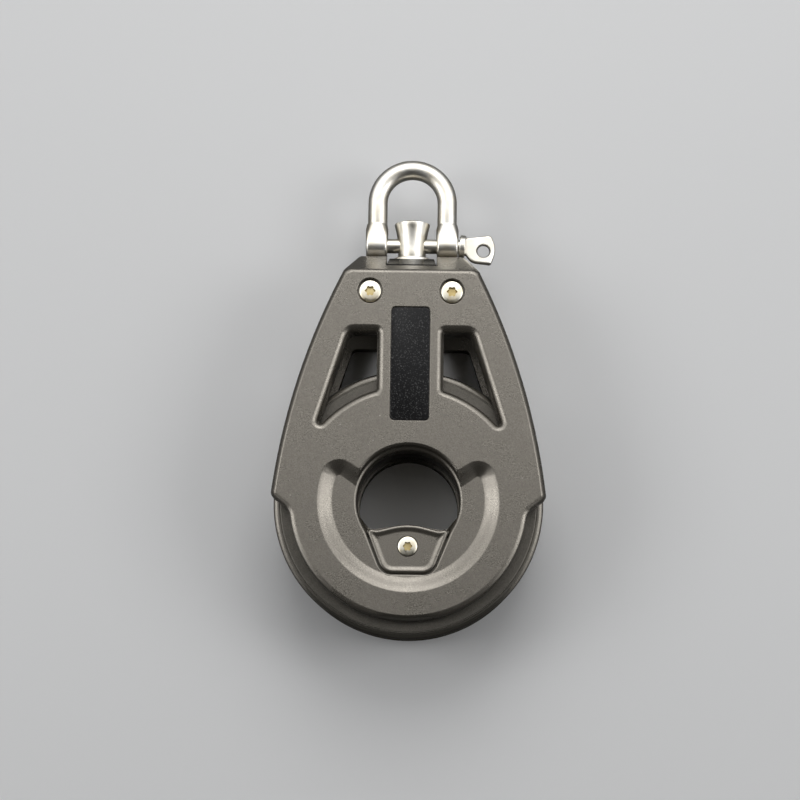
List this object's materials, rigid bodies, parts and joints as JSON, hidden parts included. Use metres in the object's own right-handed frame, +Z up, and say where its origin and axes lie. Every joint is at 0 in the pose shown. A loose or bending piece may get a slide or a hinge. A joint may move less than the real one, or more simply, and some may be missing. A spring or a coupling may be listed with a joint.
{
  "type": "sailing block",
  "caption": "Single swivel block: composite cheeks over a ball-bearing sheave, a swivel post at the head and a bow shackle with a screw pin.",
  "frame": {"origin": "on the sheave's axis, at the outer face of the back cheek, on which the block lies", "axes": "+X across the block to the right, +Y towards the shackle, +Z up from the back cheek to the front cheek, along the sheave's axis"},
  "size_m": [0.0606, 0.111, 0.027],
  "materials": {
    "cheek_composite": "matt glass-filled moulding",
    "sheave_composite": "satin moulding, rubbed bright on the rim",
    "race_plastic": "smooth machined",
    "ball_plastic": "smooth",
    "panel_gloss": "glossy with a fine speckle",
    "insert_gloss": "glossy",
    "polished_steel": "polished stainless",
    "screw_steel": "bright stainless"
  },
  "bodies": {
    "block": {"back_cheek": "cheek_composite", "front_cheek": "cheek_composite", "hub_key": "cheek_composite", "hub_ring": "race_plastic", "hub_screw": "screw_steel", "hub_nut": "screw_steel", "head_screws": "screw_steel", "head_nuts": "screw_steel", "name_panel": "panel_gloss", "head_block": "insert_gloss", "swivel_cup": "polished_steel"},
    "sheave": {"sheave": "sheave_composite", "front_ball_cover": "sheave_composite", "back_ball_cover": "sheave_composite"},
    "front_row": {"front_balls": "ball_plastic"},
    "back_row": {"back_balls": "ball_plastic"},
    "swivel": {"swivel_post": "polished_steel", "swivel_nut": "screw_steel", "nut_pin": "screw_steel", "thrust_washer": "ball_plastic", "steel_washer": "screw_steel"},
    "bow": {"shackle_bow": "polished_steel"},
    "pin": {"shackle_pin": "polished_steel"}
  },
  "joints": [
    {"name": "sheave_spin", "type": "hinge", "parent": "block", "child": "sheave", "pos_m": [0, 0, 0.0135], "axis": [0, 0, 1], "continuous": true},
    {"name": "front_row_orbit", "type": "hinge", "parent": "block", "child": "front_row", "pos_m": [0, 0, 0.0135], "axis": [0, 0, 1], "continuous": true},
    {"name": "back_row_orbit", "type": "hinge", "parent": "block", "child": "back_row", "pos_m": [0, 0, 0.0135], "axis": [0, 0, 1], "continuous": true},
    {"name": "swivel_turn", "type": "hinge", "parent": "block", "child": "swivel", "pos_m": [0, 0.057, 0.0135], "axis": [0, 1, 0], "continuous": true},
    {"name": "bow_swing", "type": "hinge", "parent": "swivel", "child": "bow", "pos_m": [0, 0.0605, 0.0135], "axis": [1, 0, 0], "range_deg": [-100, 100]},
    {"name": "pin_draw", "type": "slide", "parent": "bow", "child": "pin", "axis": [1, 0, 0], "range_m": [0, 0.0215]}
  ],
  "couplings": [
    {"joint": "front_row_orbit", "follows": "sheave_spin", "ratio": 0.562},
    {"joint": "back_row_orbit", "follows": "sheave_spin", "ratio": 0.562}
  ]
}
